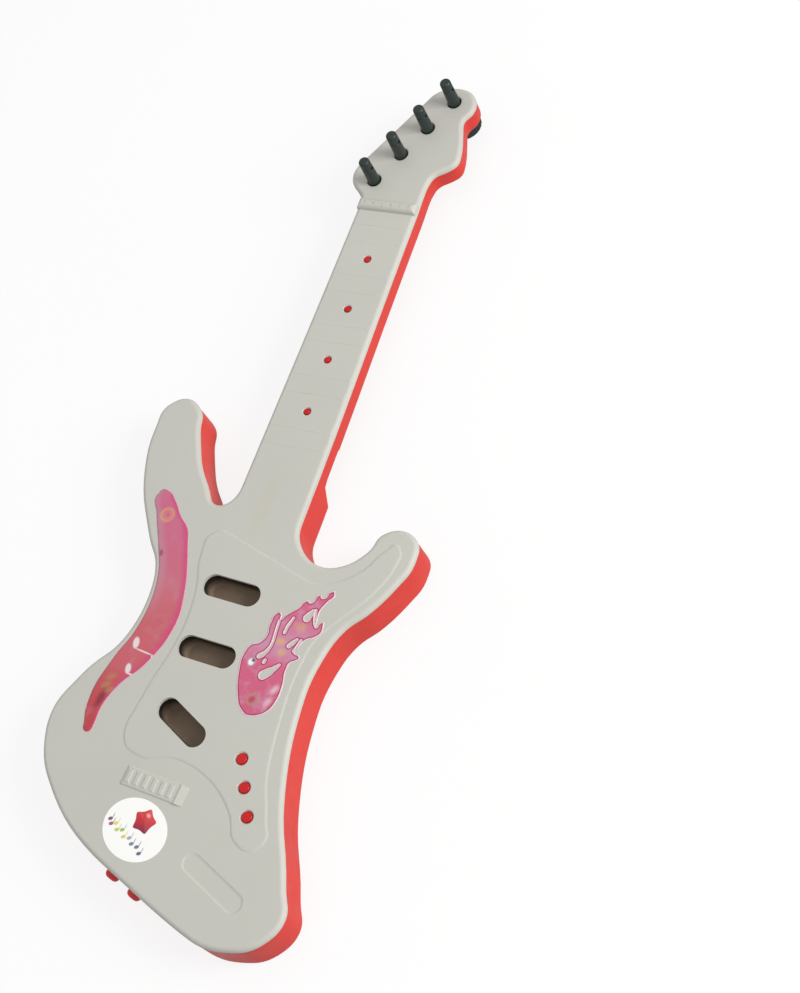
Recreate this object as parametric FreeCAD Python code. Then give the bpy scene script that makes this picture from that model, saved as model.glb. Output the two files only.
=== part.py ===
"""Toy electric guitar: two moulded shells with push buttons, tuning pegs, side knobs and a sound unit.

Units are millimetres. The guitar lies on its flat back: +Z comes out of its face, +Y runs up the neck
to the headstock and +X is to the right of somebody who looks at the face. The origin is on the back,
under the middle of the body, on the centre line of the neck.
"""
import FreeCAD
import Part
import math
import os

V = FreeCAD.Vector
UP = V(0, 0, 1)

# ---------------------------------------------------------------- driving dimensions
FACE_Z = 32.0            # height of the front face above the flat back
RIM_Z = 28.5             # parting line between the front cover and the rear shell
NECK_BACK_Z = 13.5       # underside of the neck and the headstock
HEEL_Y = 129.0           # where the body's back ends under the neck
HEEL_SLOPE = 8.0         # run of the sloping heel, along Y
WALL = 2.0               # wall of both mouldings
SHELL_INSET = 0.4        # the rear shell stands back from the cover's edge by this much
EDGE_ROUND = 3.2         # rounding of the cover's front edge
BACK_ROUND = 3.0         # rounding of the rear shell's back edge
NECK_ROUND = 4.0         # rounding of the neck's and the headstock's back edge
SEAM_HEIGHT = 0.6        # shadow groove under the cover's rim
SEAM_DEPTH = 0.7
GUARD_RISE = 0.5         # the moulded pickguard stands above the face by this much
GUARD_Z = FACE_Z + GUARD_RISE
SOFT_ROUND = 4.0         # rounding of the soft shoulders on the face
INSIDE_Z = FACE_Z - WALL # underside of the cover's face

NECK_HALF_NUT = 23.5     # half width of the neck at the nut
NECK_HALF_HEEL = 27.0    # half width of the neck at the body
NUT_Y = 350.0            # lower side of the nut
NUT_DEPTH = 8.5
NUT_RISE = 3.8

BUTTON_TRAVEL = 1.5
BODY_BUTTON_D = 7.4
BODY_BUTTONS = ((49.4, -60.7), (58.4, -78.2), (67.6, -95.7))
NECK_BUTTON_D = 4.8
NECK_BUTTON_FIRST_Y = 310.0
BUTTON_PITCH = 41.5
NECK_BUTTON_COUNT = 4
NECK_BUTTONS = tuple((0.0, NECK_BUTTON_FIRST_Y - i * BUTTON_PITCH) for i in range(NECK_BUTTON_COUNT))
BUTTON_GAP = 0.4         # radial gap between a button and its hole
FRET_OFFSET = 13.8       # each neck button lies between two frets, this far from its centre
FRET_RISE = 0.12
FRET_WIDTH = 1.6

PICKUP_LENGTH = 44.5
PICKUP_WIDTH = 16.0
PICKUPS = ((-3.0, 47.5, -3.5), (-3.5, 2.5, -3.5), (-1.5, -47.5, -27.0))   # centre x, y and tilt
PICKUP_FLOOR_Z = 18.5

PEG_FIRST = V(-18.7, 375.3, 0)      # post nearest the nut
PEG_STEP = V(12.8, 24.4, 0)         # from one post to the next
PEG_COUNT = 4
POST_TOP_D = 8.0
POST_BASE_D = 9.2        # the post widens towards the headstock
SHAFT_D = 7.0            # its shaft inside the headstock
POST_RISE = 24.0                    # post above the headstock's face
PEG_HOLE_D = 10.4
PEG_KNOB_D = 25.0
PEG_KNOB_FLUTES = 24
RUNNING_GAP = 0.06                  # radial clearance of every shaft that turns

SIDE_WALL_A = V(-18.0, -149.0, 0)   # the straight lower left edge of the body, from here
SIDE_WALL_B = V(38.0, -171.0, 0)    # to here
SIDE_KNOB_Z = 14.0
SIDE_KNOB_D = 10.0
SIDE_KNOB_RISE = 4.5
SIDE_KNOB_STEM_D = 6.0
SIDE_KNOBS_ALONG = (1.0, 22.5)      # distance of each knob along the edge from its start

SPEAKER = V(-54.0, -66.0, 0)
SPEAKER_D = 57.0
TERMINAL_REACH = 25.0    # the speaker's terminal block ends this far from its middle

TRAY_X0, TRAY_X1 = 28.0, 90.0       # battery compartment
TRAY_Y0, TRAY_Y1 = -157.5, -109.5
TRAY_TOP_Z = 18.0
TRAY_WALL = 1.6
CELL_D = 14.2
CELL_LENGTH = 50.0
CELL_COUNT = 3
CELL_Z = 9.4                        # axis of the batteries
DOOR_TAB = V(19.5, -133.5, 0)       # screw tab of the battery door
DOOR_GAP = 0.3

BOARD_THICK = 1.6
DECAL_THICK = 0.15
BRIDGE = V(-3.0, -91.8, 0)          # moulded bridge block
BRIDGE_LENGTH, BRIDGE_WIDTH, BRIDGE_TILT = 48.5, 14.6, -5.0
LABEL = V(-4.5, -122.4, 0)          # oval label under the bridge
LABEL_LENGTH, LABEL_WIDTH, LABEL_TILT = 48.5, 40.2, -17.0
MAIN_BOARD_Z = 18.4
NECK_BOARD_Z = 21.5
MAIN_BOARD_CORNERS = ((31, -46), (69, -46), (84, -92), (84, -107), (31, -107))
MAIN_BOARD_POSTS = ((36, -51), (43, -83), (79, -102))
NECK_BOARD_POSTS = ((0, 206.3), (0, 289.3))
NECK_BOARD_HALF = 9.0
NECK_BOARD_Y = (176.0, 320.0)
SOCKET_SIZE = 6.0
SOCKET_DROP = 4.5
MAIN_SOCKETS = ((53, -51), (35, -91), (35, -101), (52, -104))   # neck, speaker, knobs, batteries
NECK_SOCKET = (6, 181)
SCREW_D = 2.6
SCREW_HEAD_D = 5.4
SCREW_HEAD_RISE = 1.6

# The outline of the whole guitar, anticlockwise from the left cutaway. Each entry is x, y and, where
# the edge has to leave or meet a straight stretch, its heading in degrees.
BODY_LEFT = (
    (-27.0, 122.0, -91), (-36.5, 106.5), (-56, 122.5), (-75, 156), (-82, 174), (-95, 180.5), (-108, 173),
    (-111, 150), (-103, 113), (-82, 75), (-67, 53), (-63, 28), (-68, 0), (-88, -31), (-99, -60),
    (-93, -88), (-70, -117), (-18, -149, -21.5))
BODY_RIGHT = (
    (38, -171, -20), (80, -179.5), (104, -170.5), (115.5, -151), (108, -129.5), (87.4, -81.6),
    (76.3, -32), (75.8, 8), (85.2, 38.3), (97.5, 53.3), (108, 71.3), (115.5, 92), (113, 107), (100, 113.5), (87, 108),
    (81, 94), (69, 82), (54, 77.5), (36, 85), (27.0, 103, 90))
HEAD = (
    (23.0, 372, 90), (29, 387.5, 30), (40, 401.5, 95), (32.5, 430, 108), (36.8, 445, 85), (31, 458),
    (18, 462), (3, 457), (-5, 445, -119), (-35.5, 389.5, -119), (-37.5, 376), (-31, 367, -38),
    (-24.2, 359, -80))
OUTLINE = BODY_LEFT + BODY_RIGHT + ((23.6, NUT_Y, 90.5),) + HEAD + ((-23.6, NUT_Y, -90.5),)

# The moulded pickguard, anticlockwise from its lower left corner.
PICKGUARD = (
    (-38, -71, -55), (-22, -78.5), (4, -74), (32, -81.5), (52, -97), (64, -115), (77, -119), (88, -108),
    (83, -92), (74, -69), (68.5, -36), (67.5, 5), (71, 25), (83, 43), (98, 63), (107, 85), (107, 99),
    (99, 105), (92, 98), (80, 80), (58, 67.5), (34, 72.5, 163), (-25, 90.5, 163), (-37, 84), (-38, 66),
    (-31.5, 42), (-29.5, 18), (-32, -3), (-38, -30))

# The decals: a long swoosh down the left side and a flame right of the slots.
SWOOSH = (
    (-86.5, 104), (-80.5, 89), (-70.5, 69), (-62, 50), (-58.6, 25), (-61, 6), (-69, -17), (-74.3, -42),
    (-72, -60), (-66.5, -69.3, 0), (-63, -65, 88), (-62.3, -48), (-57.5, -35), (-43.5, -15), (-35, 6),
    (-33.2, 20), (-36.5, 40), (-47, 70), (-54, 85), (-62, 92), (-70, 101.5), (-77.5, 107.8),
    (-83.5, 108.8))
FLAME = (
    (42.5, -33, 0), (49, -31.5), (55, -27), (58.7, -17), (58.6, -7), (57, 2), (57.8, 7.6), (61, 9.8),
    (63.1, 12), (61.3, 14.3), (58.6, 14.8), (60.2, 21), (62.5, 24.8), (68, 28), (71.2, 31.5),
    (71.3, 36), (69.3, 39.8), (67.3, 37.6), (66.6, 35.3), (65.4, 40), (65, 46.5), (67.5, 52.5),
    (71, 59.5), (69.6, 62), (67, 61), (64.4, 56), (63.2, 55.6), (61.2, 57.6), (59, 56.4), (57.5, 51.7),
    (56.2, 50.8), (53.7, 52), (51.3, 50.3), (49.5, 46.5), (44.5, 41.5), (41.1, 37.5), (40.3, 35.8),
    (39.3, 38.6), (37, 40.4), (34.7, 38.5), (33.2, 31), (33.6, 21), (31.5, 17.5), (25.5, 14),
    (22.7, 6), (24, -5), (28.5, -19), (35, -29.3))
# Openings between the flame's tongues: the middle line of each and its width at every point of it.
FLAME_OPENINGS = (
    (((42.2, -4.2), (45.2, -1.6), (48.2, 1.6), (50.8, 4.8)), (5.0, 4.6, 2.2, 0.7)),
    (((34.6, 7.6), (36.4, 9.2), (38.6, 12), (40.2, 18), (39.6, 27), (39.2, 34)),
     (2.0, 2.2, 1.2, 0.6, 0.5, 0.5)),
    (((46.0, 27), (46.5, 31.5), (48.4, 38)), (0.8, 0.9, 0.5)),
    (((57.7, 39.9), (58.6, 42.2), (60.0, 45.6)), (4.2, 3.2, 0.8)),
    (((52.5, 18.8), (54.0, 20.8), (56.4, 24.2)), (1.8, 1.9, 0.6)),
    (((61.8, 46.4), (63.0, 41), (64.6, 37)), (0.5, 0.6, 0.7)),
    (((59.4, 24.2), (58.2, 19.6), (57.0, 16)), (0.5, 0.6, 0.5)),
    (((39.5, 4.4), (39.8, 5.8)), (1.0, 0.9)))


# ---------------------------------------------------------------- outlines made of tangent arcs
def unit(angle):
    """Unit vector at an angle in degrees from +X."""
    return V(math.cos(math.radians(angle)), math.sin(math.radians(angle)), 0)


def left_of(vector):
    """The vector turned a quarter turn to the left."""
    return V(-vector.y, vector.x, 0)


def circle_heading(before, here, after):
    """Direction at a point of the circle through it and its two neighbours."""
    a = here - before
    b = after - here
    direction = a * (b.Length / a.Length) + b * (a.Length / b.Length)
    return direction.normalize()


def outline_tangents(entries):
    """Points and unit tangents of a closed outline."""
    points = [V(e[0], e[1], 0) for e in entries]
    count = len(points)
    tangents = []
    for i, entry in enumerate(entries):
        if len(entry) == 3:
            tangents.append(unit(entry[2]))
        else:
            tangents.append(circle_heading(points[i - 1], points[i], points[(i + 1) % count]))
    return points, tangents


def biarc_joint(p0, t0, p1, t1):
    """The point where two arcs that leave p0 along t0 and reach p1 along t1 touch."""
    chord = p1 - p0
    both = t0 + t1
    spread = 2 * (1 - t0.dot(t1))
    along = chord.dot(both)
    if spread < 1e-6:
        reach = chord.dot(chord) / (4 * chord.dot(t1))
    else:
        reach = (-along + math.sqrt(along * along + spread * chord.dot(chord))) / spread
    return (p0 + t0 * reach + p1 - t1 * reach) * 0.5


def arc_edge(start, tangent, end, inset):
    """One arc of an outline, moved inwards, with the tangent that it ends on."""
    chord = end - start
    turn = math.atan2(tangent.x * chord.y - tangent.y * chord.x, tangent.dot(chord))
    way = V(chord).normalize()
    middle = (start + end) * 0.5 - left_of(chord) * (math.tan(turn / 2) / 2)
    end_tangent = way * (2 * way.dot(tangent)) - tangent
    a = start + left_of(tangent) * inset
    b = end + left_of(end_tangent) * inset
    if abs(turn) < 1e-3:
        return Part.LineSegment(a, b).toShape(), end_tangent
    m = middle + left_of(way) * inset
    return Part.Arc(a, m, b).toShape(), end_tangent


def smooth_wire(entries, inset=0.0):
    """A closed wire of tangent arcs through the entries of an outline."""
    points, tangents = outline_tangents(entries)
    edges = []
    for i, p0 in enumerate(points):
        j = (i + 1) % len(points)
        joint = biarc_joint(p0, tangents[i], points[j], tangents[j])
        first, tangent = arc_edge(p0, tangents[i], joint, inset)
        second, tangent = arc_edge(joint, tangent, points[j], inset)
        edges += [first, second]
    return Part.Wire(Part.__sortEdges__(edges))


# ---------------------------------------------------------------- small solid helpers
def prism(wire, z0, z1):
    """Upright prism over a closed flat wire."""
    face = Part.Face(wire)
    face.translate(V(0, 0, z0))
    return face.extrude(V(0, 0, z1 - z0))


def rod(x, y, z0, z1, diameter):
    return Part.makeCylinder(diameter / 2, z1 - z0, V(x, y, z0))


def tube(x, y, z0, z1, outer, inner):
    return rod(x, y, z0, z1, outer).cut(rod(x, y, z0, z1, inner))


def box(x0, y0, z0, x1, y1, z1):
    return Part.makeBox(x1 - x0, y1 - y0, z1 - z0, V(x0, y0, z0))


def stadium(x, y, angle, length, width, z0, z1):
    """Long hole or plug with round ends, turned about its middle."""
    half = (length - width) / 2
    body = box(-half, -width / 2, z0, half, width / 2, z1)
    body = body.fuse([rod(-half, 0, z0, z1, width), rod(half, 0, z0, z1, width)]).removeSplitter()
    body.rotate(V(0, 0, 0), UP, angle)
    body.translate(V(x, y, 0))
    return body


def cone(x, y, z0, z1, d0, d1):
    return Part.makeCone(d0 / 2, d1 / 2, z1 - z0, V(x, y, z0))


def edges_at(shape, z):
    """Edges that lie wholly at one height."""
    box_of = [(e, e.BoundBox) for e in shape.Edges]
    return [e for e, b in box_of if abs(b.ZMin - z) < 1e-4 and abs(b.ZMax - z) < 1e-4]


def cable(points, diameter):
    """Round cable of straight runs joined by arcs that are as large as the runs allow."""
    points = [V(*p) for p in points]
    edges = []
    start = points[0]
    for before, corner, after in zip(points, points[1:], points[2:]):
        into = (corner - before).normalize()
        out = (after - corner).normalize()
        turn = math.acos(max(-1.0, min(1.0, into.dot(out))))
        trim = 0.45 * min((corner - before).Length, (after - corner).Length)
        radius = trim / math.tan(turn / 2)
        a = corner - into * trim
        b = corner + out * trim
        inward = (out - into).normalize()
        middle = corner + inward * (radius / math.cos(turn / 2) - radius)
        edges.append(Part.LineSegment(start, a).toShape())
        edges.append(Part.Arc(a, middle, b).toShape())
        start = b
    edges.append(Part.LineSegment(start, points[-1]).toShape())
    path = Part.Wire(edges)
    section = Part.Wire(Part.Circle(points[0], (points[1] - points[0]).normalize(), diameter / 2).toShape())
    return path.makePipeShell([section], True, False)


def group(solids):
    """Separate solids that share one node."""
    return Part.Compound(solids)


# ---------------------------------------------------------------- screws and their posts
BODY_SCREWS = ((-96, 158), (-84, 100), (-50, 36), (-80, -90), (-40, -122), (99, -152), (60, 32),
               (101, 96), (0, 84))
NECK_SCREWS = ((0, 332), (0, 160), (28, 405))
SCREW_MEET_Z = 16.0      # the two halves of a screw post meet here in the body
NECK_MEET_Z = 19.0


def screw_places():
    """x, y, back face height and meeting height of every screw that holds the shells together."""
    body = [(x, y, 0.0, SCREW_MEET_Z) for x, y in BODY_SCREWS]
    neck = [(x, y, NECK_BACK_Z, NECK_MEET_Z) for x, y in NECK_SCREWS]
    return body + neck


def screw(x, y, z_head, length, diameter=SCREW_D, head=SCREW_HEAD_D):
    """Self-tapping screw that points up, with a cross in its domed head."""
    shank = rod(x, y, z_head, z_head + length - diameter, diameter)
    tip = cone(x, y, z_head + length - diameter, z_head + length, diameter, 0.6)
    bottom = z_head - SCREW_HEAD_RISE
    cap = rod(x, y, bottom, z_head, head)
    cap = cap.makeFillet(0.7, edges_at(cap, bottom))
    body = shank.fuse([tip, cap])
    for a, b in ((head * 0.62, 0.9), (0.9, head * 0.62)):
        body = body.cut(box(x - a / 2, y - b / 2, bottom - 0.1, x + a / 2, y + b / 2, bottom + 0.9))
    return body


# ---------------------------------------------------------------- front cover
def pickguard_relief():
    """The pickguard's low step, with a soft shoulder all round."""
    block = prism(smooth_wire(PICKGUARD), GUARD_Z - 6, GUARD_Z)
    block = block.makeFillet(SOFT_ROUND, edges_at(block, GUARD_Z))
    return block.common(box(-120, -200, INSIDE_Z + 0.5, 120, 200, GUARD_Z + 1))


def bridge_relief():
    """Low bridge block with six saddles and a sloping end, moulded on the face under the slots."""
    half, side = BRIDGE_LENGTH / 2, BRIDGE_WIDTH / 2
    top = FACE_Z + 0.9
    block = box(-half, -side, INSIDE_Z + 0.5, half - 4.5, side, top)
    block = block.makeFillet(2.0, edges_at(block, top))
    slope = Part.Face(Part.makePolygon([
        V(half - 7, 0, INSIDE_Z + 0.5), V(half + 1.5, 0, INSIDE_Z + 0.5), V(half, 0, FACE_Z + 0.2),
        V(half - 5, 0, top + 0.7), V(half - 7, 0, top), V(half - 7, 0, INSIDE_Z + 0.5)]))
    slope.translate(V(0, -side + 0.8, 0))
    parts = [slope.extrude(V(0, BRIDGE_WIDTH - 1.6, 0))]
    saddle_pitch = 6.6
    for i in range(6):
        x = -half + 1.8 + i * saddle_pitch
        saddle = box(x, -side + 2.2, top - 1.7, x + 4.9, side - 2.2, top + 0.5)
        parts.append(saddle.makeFillet(1.5, edges_at(saddle, top + 0.5)))
    bridge = block.fuse(parts)
    bridge.rotate(V(0, 0, 0), UP, BRIDGE_TILT)
    bridge.translate(BRIDGE)
    return bridge


def jack_recess():
    """Cutter for the shallow long recess right of the bridge."""
    dish = stadium(61, -141, -24, 58, 18, FACE_Z - 0.5, FACE_Z + 6)
    return dish.makeFillet(SOFT_ROUND, edges_at(dish, FACE_Z - 0.5))


def nut_relief():
    """The nut: a rounded ridge across the top of the neck with six small grooves."""
    half = NECK_HALF_NUT - 0.4
    ridge = box(-half, NUT_Y, INSIDE_Z + 0.5, half, NUT_Y + NUT_DEPTH, FACE_Z + NUT_RISE)
    top = edges_at(ridge, FACE_Z + NUT_RISE)
    ridge = ridge.makeFillet(3.6, top)
    for i in range(6):
        x = -17.5 + i * 7.0
        ridge = ridge.cut(box(x - 0.5, NUT_Y - 1, FACE_Z + NUT_RISE - 0.5, x + 0.5, NUT_Y + NUT_DEPTH + 1,
                              FACE_Z + NUT_RISE + 1))
    return ridge


def fret(y):
    """One low fret across the neck."""
    share = (NUT_Y - y) / (NUT_Y - HEEL_Y)
    half = NECK_HALF_NUT + (NECK_HALF_HEEL - NECK_HALF_NUT) * share - 2.6
    bar = box(-half, y - FRET_WIDTH / 2, INSIDE_Z + 0.5, half, y + FRET_WIDTH / 2, FACE_Z + FRET_RISE)
    return bar.makeFillet(0.6, edges_at(bar, FACE_Z + FRET_RISE))


def fret_places():
    """Heights along the neck of the frets, in pairs about each button and on down to the body."""
    places = [NECK_BUTTON_FIRST_Y + BUTTON_PITCH - FRET_OFFSET]
    for i in range(NECK_BUTTON_COUNT + 1):
        y = NECK_BUTTON_FIRST_Y - i * BUTTON_PITCH
        places += [y + FRET_OFFSET, y - FRET_OFFSET]
    return places[:-1]


def round_hole(x, y, top, diameter, bevel):
    """Cutter for a round hole through the cover with a bevelled mouth."""
    hole = rod(x, y, RIM_Z, top + 1, diameter)
    return hole.fuse(cone(x, y, top - bevel, top + 0.01, diameter, diameter + 2 * bevel))


def front_cover():
    skin = prism(smooth_wire(OUTLINE), RIM_Z, FACE_Z)
    skin = skin.makeFillet(EDGE_ROUND, edges_at(skin, FACE_Z))
    skin = skin.cut(prism(smooth_wire(OUTLINE, WALL), RIM_Z - 1, INSIDE_Z))
    raised = [pickguard_relief(), bridge_relief(), nut_relief()]
    raised += [fret(y) for y in fret_places()]
    for x, y, back, meet in screw_places():
        raised.append(rod(x, y, meet, INSIDE_Z + 0.5, 6.6))
    for x, y in MAIN_BOARD_POSTS:
        raised.append(rod(x, y, MAIN_BOARD_Z + BOARD_THICK, INSIDE_Z + 0.5, 5.0))
    for x, y in NECK_BOARD_POSTS:
        raised.append(rod(x, y, NECK_BOARD_Z + BOARD_THICK, INSIDE_Z + 0.5, 5.0))
    cover = skin.fuse(raised)
    cutters = [jack_recess()]
    for x, y, tilt in PICKUPS:
        cutters.append(stadium(x, y, tilt, PICKUP_LENGTH, PICKUP_WIDTH, RIM_Z, GUARD_Z + 1))
    for x, y in BODY_BUTTONS:
        cutters.append(round_hole(x, y, GUARD_Z, BODY_BUTTON_D + 2 * BUTTON_GAP, 0.9))
    for x, y in NECK_BUTTONS:
        cutters.append(round_hole(x, y, FACE_Z, NECK_BUTTON_D + 2 * BUTTON_GAP, 0.7))
    for p in peg_places():
        cutters.append(round_hole(p.x, p.y, FACE_Z, PEG_HOLE_D, 0.6))
    for x, y, back, meet in screw_places():
        cutters.append(rod(x, y, meet - 1, meet + 10, SCREW_D))
    for x, y in MAIN_BOARD_POSTS + NECK_BOARD_POSTS:
        cutters.append(rod(x, y, NECK_BOARD_Z - 3, NECK_BOARD_Z + BOARD_THICK + 6, 2.0))
    cover = cover.cut(cutters)
    return cover


# ---------------------------------------------------------------- rear shell
def heel_cutter(inset):
    """Everything past the sloping heel, between the horns."""
    y0 = HEEL_Y - inset
    top = RIM_Z + 5
    reach = HEEL_SLOPE * (top - inset) / NECK_BACK_Z
    profile = [V(0, y0, -5), V(0, 600, -5), V(0, 600, top), V(0, y0 + reach, top), V(0, y0, inset),
               V(0, y0, -5)]
    face = Part.Face(Part.makePolygon(profile))
    face.translate(V(-60, 0, 0))
    return face.extrude(V(120, 0, 0))


def shell_block(inset):
    """Outer solid of the rear shell, or the same moved inwards by the wall."""
    wire = smooth_wire(OUTLINE, SHELL_INSET + inset)
    body = prism(wire, inset, RIM_Z)
    body = body.makeFillet(BACK_ROUND - inset, edges_at(body, inset))
    neck = prism(wire, NECK_BACK_Z + inset, RIM_Z)
    neck = neck.makeFillet(NECK_ROUND - inset, edges_at(neck, NECK_BACK_Z + inset))
    body = body.cut(heel_cutter(inset))
    neck = neck.common(box(-60, 100, 0, 60, 600, RIM_Z))
    return body.fuse(neck)


def seam_cutter():
    """Ring cut out of the shell's outside just under the cover's rim."""
    outside = prism(smooth_wire(OUTLINE, SHELL_INSET - 1.0), RIM_Z - SEAM_HEIGHT, RIM_Z + 1)
    return outside.cut(prism(smooth_wire(OUTLINE, SHELL_INSET + SEAM_DEPTH), 0, RIM_Z + 2))


def speaker_grille():
    """Rings of round holes in the back, under the speaker."""
    holes = [rod(SPEAKER.x, SPEAKER.y, -1, WALL + 1, 3.0)]
    for ring in range(1, 5):
        count = 6 * ring
        for i in range(count):
            p = SPEAKER + unit(360.0 * i / count) * (ring * 5.2)
            holes.append(rod(p.x, p.y, -1, WALL + 1, 3.0))
    return holes


def door_plate(grow, z0, z1):
    """The battery door's plan, without its tab."""
    return box(TRAY_X0 + TRAY_WALL - grow, TRAY_Y0 + TRAY_WALL - grow, z0,
               TRAY_X1 - TRAY_WALL + grow, TRAY_Y1 - TRAY_WALL + grow, z1)


def door_tab(grow, z0, z1):
    """The door's round-ended tab for its screw."""
    width = 11.0 + 2 * grow
    end = TRAY_X0 + TRAY_WALL + 2
    tab = rod(DOOR_TAB.x, DOOR_TAB.y, z0, z1, width)
    return tab.fuse(box(DOOR_TAB.x, DOOR_TAB.y - width / 2, z0, end, DOOR_TAB.y + width / 2, z1))


def rear_shell():
    shell = shell_block(0.0).cut(shell_block(WALL))
    posts = []
    for x, y, back, meet in screw_places():
        posts.append(rod(x, y, back + 1.0, meet, 8.4))
    for p in peg_places():
        posts.append(rod(p.x, p.y, NECK_BACK_Z + 1.0, NECK_BACK_Z + 7.0, 13.0))
    posts.append(tube(SPEAKER.x, SPEAKER.y, WALL - 0.5, WALL + 4.0, SPEAKER_D + 4.4, SPEAKER_D + 0.4))
    posts.append(rod(DOOR_TAB.x, DOOR_TAB.y, 1.0, WALL + 2.2, 15.0))
    posts.append(rod(DOOR_TAB.x, DOOR_TAB.y, 1.0, 13.0, 7.0))
    for along in SIDE_KNOBS_ALONG:
        posts.append(side_rod(along, -WALL - 3.0, -WALL + 0.4, SIDE_KNOB_STEM_D + 5.0))
    shell = shell.fuse(posts)
    cutters = speaker_grille()
    for x, y, back, meet in screw_places():
        cutters.append(rod(x, y, back - 1, meet - 3.0, SCREW_HEAD_D + 0.8))
        cutters.append(rod(x, y, back - 1, meet + 1.0, SCREW_D + 0.4))
    for p in peg_places():
        cutters.append(rod(p.x, p.y, NECK_BACK_Z - 1, NECK_BACK_Z + 8.0, SHAFT_D + 2 * RUNNING_GAP))
    for along in SIDE_KNOBS_ALONG:
        cutters.append(side_rod(along, -WALL - 4.0, 3.0, SIDE_KNOB_STEM_D + 2 * RUNNING_GAP))
    cutters += [door_plate(0.0, -1, WALL + 1), door_tab(0.0, -1, WALL + 0.2), seam_cutter()]
    cutters.append(rod(DOOR_TAB.x, DOOR_TAB.y, -1, 12.0, SCREW_D + 2 * RUNNING_GAP))
    return shell.cut(cutters)


# ---------------------------------------------------------------- slots, buttons and their boards
def pickup_insert(x, y, tilt):
    """Deep tray that closes one slot from behind."""
    cup = stadium(x, y, tilt, PICKUP_LENGTH + 3.0, PICKUP_WIDTH + 3.0, PICKUP_FLOOR_Z - 1.5, INSIDE_Z)
    flange = stadium(x, y, tilt, PICKUP_LENGTH + 8.0, PICKUP_WIDTH + 6.0, INSIDE_Z - 1.5, INSIDE_Z)
    hollow = stadium(x, y, tilt, PICKUP_LENGTH, PICKUP_WIDTH, PICKUP_FLOOR_Z, INSIDE_Z + 1)
    hollow = hollow.makeFillet(2.5, edges_at(hollow, PICKUP_FLOOR_Z))
    return cup.fuse(flange).removeSplitter().cut(hollow)


def push_button(x, y, diameter, top, stem_bottom):
    """Round cap with a flange that keeps it behind the cover, and a stem that presses its dome."""
    cap = rod(x, y, INSIDE_Z - 0.6, top, diameter)
    cap = cap.makeFillet(0.8, edges_at(cap, top))
    flange = rod(x, y, INSIDE_Z - 1.8, INSIDE_Z - 0.2, diameter + 3.4)
    stem = rod(x, y, stem_bottom, INSIDE_Z - 1.0, diameter * 0.6)
    return cap.fuse([flange, stem]).removeSplitter()


def dome_strip(base, centres, z, top, width):
    """Rubber sheet on a board with a dome under each button."""
    return base.fuse([cone(x, y, z, top, width, width * 0.6) for x, y in centres]).removeSplitter()


def main_circuit_board():
    corners = [V(x, y, 0) for x, y in MAIN_BOARD_CORNERS]
    board = prism(Part.makePolygon(corners + corners[:1]), MAIN_BOARD_Z, MAIN_BOARD_Z + BOARD_THICK)
    return board.cut([rod(x, y, MAIN_BOARD_Z - 1, MAIN_BOARD_Z + 3, 2.4) for x, y in MAIN_BOARD_POSTS])


def socket(x, y, board_z):
    """Wire socket under a board, by its middle."""
    half = SOCKET_SIZE / 2
    return box(x - half, y - half, board_z - SOCKET_DROP, x + half, y + half, board_z)


def board_parts():
    """Sound chip under its blob, a capacitor, resistors and a socket where each cable ends."""
    under = MAIN_BOARD_Z
    parts = [cone(58, -90, under - 1.8, under, 9.0, 14.0)]
    parts.append(rod(41, -68, under - 9.0, under, 6.3))
    for i in range(4):
        parts.append(box(56 + i * 3.6, -70, under - 1.0, 58 + i * 3.6, -65, under))
    parts += [socket(x, y, under) for x, y in MAIN_SOCKETS]
    parts.append(socket(NECK_SOCKET[0], NECK_SOCKET[1], NECK_BOARD_Z))
    return group(parts)


def neck_circuit_board():
    board = box(-NECK_BOARD_HALF, NECK_BOARD_Y[0], NECK_BOARD_Z, NECK_BOARD_HALF, NECK_BOARD_Y[1],
                NECK_BOARD_Z + BOARD_THICK)
    return board.cut([rod(x, y, NECK_BOARD_Z - 1, NECK_BOARD_Z + 3, 2.4) for x, y in NECK_BOARD_POSTS])


def body_contact_pad():
    z = MAIN_BOARD_Z + BOARD_THICK
    first, last = BODY_BUTTONS[0], BODY_BUTTONS[-1]
    tilt = math.degrees(math.atan2(last[1] - first[1], last[0] - first[0]))
    base = stadium(BODY_BUTTONS[1][0], BODY_BUTTONS[1][1], tilt, 53.0, 12.0, z, z + 1.0)
    return dome_strip(base, BODY_BUTTONS, z + 0.5, z + 2.8, 8.0)


def neck_contact_pads():
    """One small rubber dome for each neck button."""
    z = NECK_BOARD_Z + BOARD_THICK
    return group([dome_strip(rod(x, y, z, z + 0.8, 11.0), [(x, y)], z + 0.4, z + 2.6, 7.0)
                  for x, y in NECK_BUTTONS])


def board_screws():
    places = [(x, y, MAIN_BOARD_Z) for x, y in MAIN_BOARD_POSTS]
    places += [(x, y, NECK_BOARD_Z) for x, y in NECK_BOARD_POSTS]
    return group([screw(x, y, z, 7.0, 2.0, 4.0) for x, y, z in places])


# ---------------------------------------------------------------- tuning pegs
def peg_places():
    return [PEG_FIRST + PEG_STEP * i for i in range(PEG_COUNT)]


def tuning_post(p):
    """Tapered post with a string hole, on a shaft whose flange turns on the boss inside."""
    top = FACE_Z + POST_RISE
    post = cone(p.x, p.y, INSIDE_Z - 3.0, top, POST_BASE_D, POST_TOP_D)
    post = post.makeFillet(1.8, edges_at(post, top))
    shaft = rod(p.x, p.y, 4.0, INSIDE_Z - 2.0, SHAFT_D)
    flange = rod(p.x, p.y, NECK_BACK_Z + 7.3, NECK_BACK_Z + 9.0, 12.0)
    hole_z = top - 8.0
    across = Part.makeCylinder(1.4, 20, V(p.x - 10, p.y, hole_z), V(1, 0, 0))
    groove = Part.makeTorus(POST_TOP_D / 2 + 0.6, 0.9, V(p.x, p.y, hole_z))
    return post.fuse([shaft, flange]).cut([across, groove])


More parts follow.
